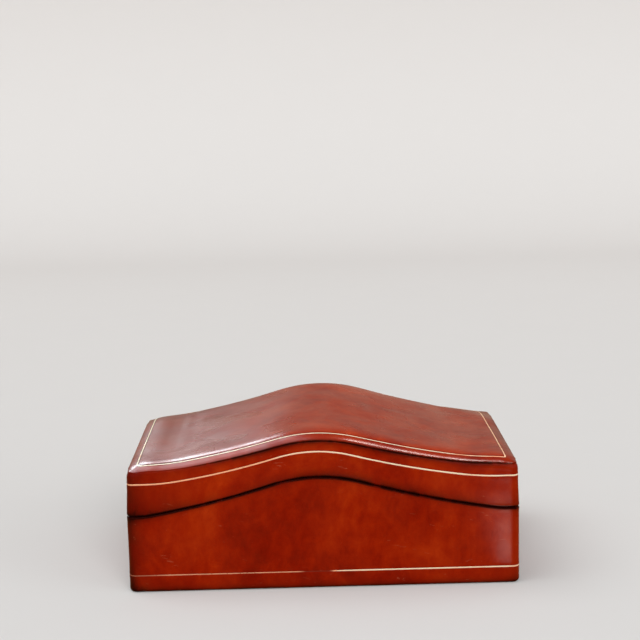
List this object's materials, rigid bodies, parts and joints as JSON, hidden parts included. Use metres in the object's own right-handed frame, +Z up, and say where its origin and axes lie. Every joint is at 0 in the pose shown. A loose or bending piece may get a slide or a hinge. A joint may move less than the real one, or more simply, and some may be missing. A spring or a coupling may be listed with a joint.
{
  "type": "stationery box",
  "caption": "Low leather-covered wooden box with a serpentine lid on two stop-bevelled brass butt hinges, lined for note paper and envelopes.",
  "frame": {"origin": "centre of the underside that the box stands on", "axes": "+X along the length to the right, -Y out of the front, +Z up"},
  "size_m": [0.2616, 0.16, 0.1065],
  "materials": {
    "calf_leather": "glazed chestnut calf, clouded by hand staining, with gilt fillets",
    "carcass_wood": "plain planed softwood, covered",
    "lining": "tan suede-finish lining on card",
    "felt_padding": "undyed wool felt, hidden under the leather",
    "baize": "dark brown baize",
    "brass": "drawn brass, lightly tarnished"
  },
  "bodies": {
    "base": {"base_front_wall": "carcass_wood", "base_back_wall": "carcass_wood", "base_left_wall": "carcass_wood", "base_right_wall": "carcass_wood", "base_floor_board": "carcass_wood", "base_leather_wrap": "calf_leather", "base_bottom_sheet": "baize", "base_floor_lining": "lining", "base_front_lining": "lining", "base_back_lining": "lining", "base_left_lining": "lining", "base_right_lining": "lining", "left_hinge_base_leaf": "brass", "right_hinge_base_leaf": "brass", "left_hinge_pin": "brass", "right_hinge_pin": "brass", "base_hinge_screws": "brass"},
    "lid": {"lid_front_rail": "carcass_wood", "lid_back_rail": "carcass_wood", "lid_left_rail": "carcass_wood", "lid_right_rail": "carcass_wood", "lid_top_board": "carcass_wood", "lid_padding": "felt_padding", "lid_top_leather": "calf_leather", "lid_band_leather": "calf_leather", "lid_top_lining": "lining", "lid_front_lining": "lining", "lid_back_lining": "lining", "lid_left_lining": "lining", "lid_right_lining": "lining", "left_hinge_lid_leaf": "brass", "right_hinge_lid_leaf": "brass", "lid_hinge_screws": "brass"}
  },
  "joints": [
    {"name": "lid_hinge", "type": "hinge", "parent": "base", "child": "lid", "pos_m": [0, 0.0776, 0.0525], "axis": [-1, 0, 0], "range_deg": [0, 100]}
  ]
}
